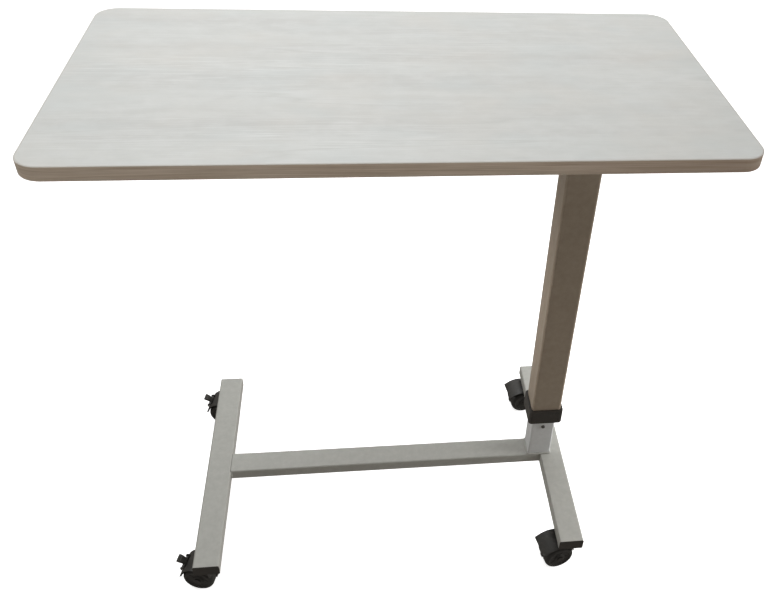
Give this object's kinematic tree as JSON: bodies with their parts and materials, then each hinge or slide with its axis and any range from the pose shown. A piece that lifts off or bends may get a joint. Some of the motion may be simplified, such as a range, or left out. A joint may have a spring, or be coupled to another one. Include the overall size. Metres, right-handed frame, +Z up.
{
  "type": "overbed table",
  "caption": "Rectangular laminate table top cantilevered from an off-centre telescopic column on a flat H-shaped steel base with four twin-wheel castors, two of them braked.",
  "frame": {"origin": "on the floor, under the centre of the table top", "axes": "+Z up; +X along the top towards the column end; -Y is the user's side"},
  "size_m": [0.8, 0.42, 0.797],
  "materials": {
    "wood_core": "raw particle board",
    "top_laminate": "pale whitewashed wood-grain laminate, satin",
    "backing_laminate": "plain off-white balancing sheet, matt",
    "edge_band": "taupe wood-grain PVC edging, satin",
    "grey_paint": "light warm grey powder coat",
    "taupe_paint": "taupe powder coat, satin",
    "black_plastic": "moulded black plastic",
    "natural_nylon": "natural nylon",
    "black_paint": "black stoved paint",
    "chrome_rod": "hard chrome, polished",
    "zinc_steel": "zinc plated steel",
    "black_steel": "blackened steel",
    "caster_black": "moulded black nylon",
    "wheel_black": "black nylon tread"
  },
  "bodies": {
    "base": {"left_leg": "grey_paint", "right_leg": "grey_paint", "crossbar": "grey_paint", "leg_end_caps": "black_plastic", "inner_post": "grey_paint", "post_guide_cap": "natural_nylon", "gas_spring_cylinder": "black_paint", "gas_spring_foot": "zinc_steel", "anchor_bolt": "zinc_steel", "anchor_nut": "zinc_steel", "caster_stems": "zinc_steel", "caster_weld_nuts": "zinc_steel"},
    "table": {"table_top_core": "wood_core", "top_laminate": "top_laminate", "bottom_laminate": "backing_laminate", "edge_band": "edge_band", "support_rail_front": "taupe_paint", "support_rail_rear": "taupe_paint", "rail_end_caps": "black_plastic", "rail_screws": "zinc_steel", "head_plate": "taupe_paint", "outer_column": "taupe_paint", "column_collar": "black_plastic", "gas_spring_rod": "chrome_rod", "gas_spring_piston": "zinc_steel", "rod_locknuts": "zinc_steel", "lever_bracket": "taupe_paint", "lever_pivot_pin": "zinc_steel"},
    "lever": {"release_lever": "zinc_steel", "lever_grip": "black_plastic"},
    "valve_pin": {"release_pin": "zinc_steel"},
    "caster_fl": {"caster_fl_hood": "caster_black", "caster_fl_axle": "black_steel", "caster_fl_brake_pin": "zinc_steel"},
    "wheel_fl_front": {"caster_fl_wheel_front": "wheel_black"},
    "wheel_fl_rear": {"caster_fl_wheel_rear": "wheel_black"},
    "brake_fl": {"caster_fl_brake_pedal": "caster_black"},
    "caster_rl": {"caster_rl_hood": "caster_black", "caster_rl_axle": "black_steel", "caster_rl_brake_pin": "zinc_steel"},
    "wheel_rl_front": {"caster_rl_wheel_front": "wheel_black"},
    "wheel_rl_rear": {"caster_rl_wheel_rear": "wheel_black"},
    "brake_rl": {"caster_rl_brake_pedal": "caster_black"},
    "caster_fr": {"caster_fr_hood": "caster_black", "caster_fr_axle": "black_steel"},
    "wheel_fr_front": {"caster_fr_wheel_front": "wheel_black"},
    "wheel_fr_rear": {"caster_fr_wheel_rear": "wheel_black"},
    "caster_rr": {"caster_rr_hood": "caster_black", "caster_rr_axle": "black_steel"},
    "wheel_rr_front": {"caster_rr_wheel_front": "wheel_black"},
    "wheel_rr_rear": {"caster_rr_wheel_rear": "wheel_black"}
  },
  "joints": [
    {"name": "column_lift", "type": "slide", "parent": "base", "child": "table", "axis": [0, 0, 1], "range_m": [0, 0.29]},
    {"name": "release_lever_hinge", "type": "hinge", "parent": "table", "child": "lever", "pos_m": [0.285, 0, 0.7681], "axis": [0, -1, 0], "range_deg": [0, 8], "stiffness_Nm_per_rad": 1, "springref_deg": -5.73},
    {"name": "release_pin_slide", "type": "slide", "parent": "table", "child": "valve_pin", "axis": [0, 0, -1], "range_m": [0, 0.0053]},
    {"name": "caster_fl_swivel", "type": "hinge", "parent": "base", "child": "caster_fl", "pos_m": [-0.311, -0.178, 0], "axis": [0, 0, 1], "continuous": true},
    {"name": "wheel_fl_front_spin", "type": "hinge", "parent": "caster_fl", "child": "wheel_fl_front", "pos_m": [-0.32749, -0.17389, 0.025], "axis": [0.2419, 0.9703, 0], "continuous": true},
    {"name": "wheel_fl_rear_spin", "type": "hinge", "parent": "caster_fl", "child": "wheel_fl_rear", "pos_m": [-0.32749, -0.17389, 0.025], "axis": [0.2419, 0.9703, 0], "continuous": true},
    {"name": "brake_fl_pedal", "type": "hinge", "parent": "caster_fl", "child": "brake_fl", "pos_m": [-0.35124, -0.16797, 0.04252], "axis": [-0.2419, -0.9703, 0], "range_deg": [0, 14]},
    {"name": "caster_rl_swivel", "type": "hinge", "parent": "base", "child": "caster_rl", "pos_m": [-0.311, 0.178, 0], "axis": [0, 0, 1], "continuous": true},
    {"name": "wheel_rl_front_spin", "type": "hinge", "parent": "caster_rl", "child": "wheel_rl_front", "pos_m": [-0.32769, 0.18124, 0.025], "axis": [0.1908, 0.9816, 0], "continuous": true},
    {"name": "wheel_rl_rear_spin", "type": "hinge", "parent": "caster_rl", "child": "wheel_rl_rear", "pos_m": [-0.32769, 0.18124, 0.025], "axis": [0.1908, 0.9816, 0], "continuous": true},
    {"name": "brake_rl_pedal", "type": "hinge", "parent": "caster_rl", "child": "brake_rl", "pos_m": [-0.35171, 0.18591, 0.04252], "axis": [-0.1908, -0.9816, 0], "range_deg": [0, 14]},
    {"name": "caster_fr_swivel", "type": "hinge", "parent": "base", "child": "caster_fr", "pos_m": [0.27, -0.178, 0], "axis": [0, 0, 1], "continuous": true},
    {"name": "wheel_fr_front_spin", "type": "hinge", "parent": "caster_fr", "child": "wheel_fr_front", "pos_m": [0.25337, -0.18153, 0.025], "axis": [-0.2079, 0.9781, 0], "continuous": true},
    {"name": "wheel_fr_rear_spin", "type": "hinge", "parent": "caster_fr", "child": "wheel_fr_rear", "pos_m": [0.25337, -0.18153, 0.025], "axis": [-0.2079, 0.9781, 0], "continuous": true},
    {"name": "caster_rr_swivel", "type": "hinge", "parent": "base", "child": "caster_rr", "pos_m": [0.27, 0.178, 0], "axis": [0, 0, 1], "continuous": true},
    {"name": "wheel_rr_front_spin", "type": "hinge", "parent": "caster_rr", "child": "wheel_rr_front", "pos_m": [0.25317, 0.17563, 0.025], "axis": [-0.1392, 0.9903, 0], "continuous": true},
    {"name": "wheel_rr_rear_spin", "type": "hinge", "parent": "caster_rr", "child": "wheel_rr_rear", "pos_m": [0.25317, 0.17563, 0.025], "axis": [-0.1392, 0.9903, 0], "continuous": true}
  ],
  "couplings": [
    {"joint": "release_pin_slide", "follows": "release_lever_hinge", "m_per_rad": 0.037}
  ]
}
